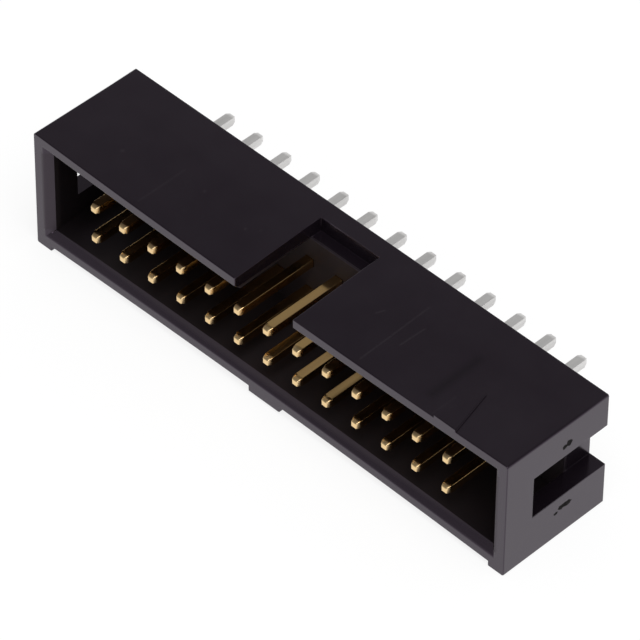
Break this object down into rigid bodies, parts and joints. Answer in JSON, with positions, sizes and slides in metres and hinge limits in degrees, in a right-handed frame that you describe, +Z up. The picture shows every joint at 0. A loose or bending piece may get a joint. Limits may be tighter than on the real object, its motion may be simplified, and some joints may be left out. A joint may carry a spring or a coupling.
{
  "type": "pin header",
  "caption": "Shrouded straight pin header: a black moulded box with a polarising slot, end windows and rows of square gold contact pins for a ribbon-cable socket.",
  "frame": {"origin": "centre of the pin grid on the plane that seats on the board", "axes": "+X along the rows of pins towards pin 1, +Y out of the board side along the solder tails, +Z up through the wall with the polarising slot; the header lies on its other long wall, as it rests in the picture"},
  "size_m": [0.0408, 0.0123, 0.0095],
  "materials": {
    "housing_plastic": "moulded black glass-filled thermoplastic, satin to glossy",
    "pin_metal": "gold plate on the mating end, bright tin on the tail"
  },
  "bodies": {
    "root": {"housing": "housing_plastic", "pin_01": "pin_metal", "pin_02": "pin_metal", "pin_03": "pin_metal", "pin_04": "pin_metal", "pin_05": "pin_metal", "pin_06": "pin_metal", "pin_07": "pin_metal", "pin_08": "pin_metal", "pin_09": "pin_metal", "pin_10": "pin_metal", "pin_11": "pin_metal", "pin_12": "pin_metal", "pin_13": "pin_metal", "pin_14": "pin_metal", "pin_15": "pin_metal", "pin_16": "pin_metal", "pin_17": "pin_metal", "pin_18": "pin_metal", "pin_19": "pin_metal", "pin_20": "pin_metal", "pin_21": "pin_metal", "pin_22": "pin_metal", "pin_23": "pin_metal", "pin_24": "pin_metal", "pin_25": "pin_metal", "pin_26": "pin_metal"}
  },
  "joints": []
}
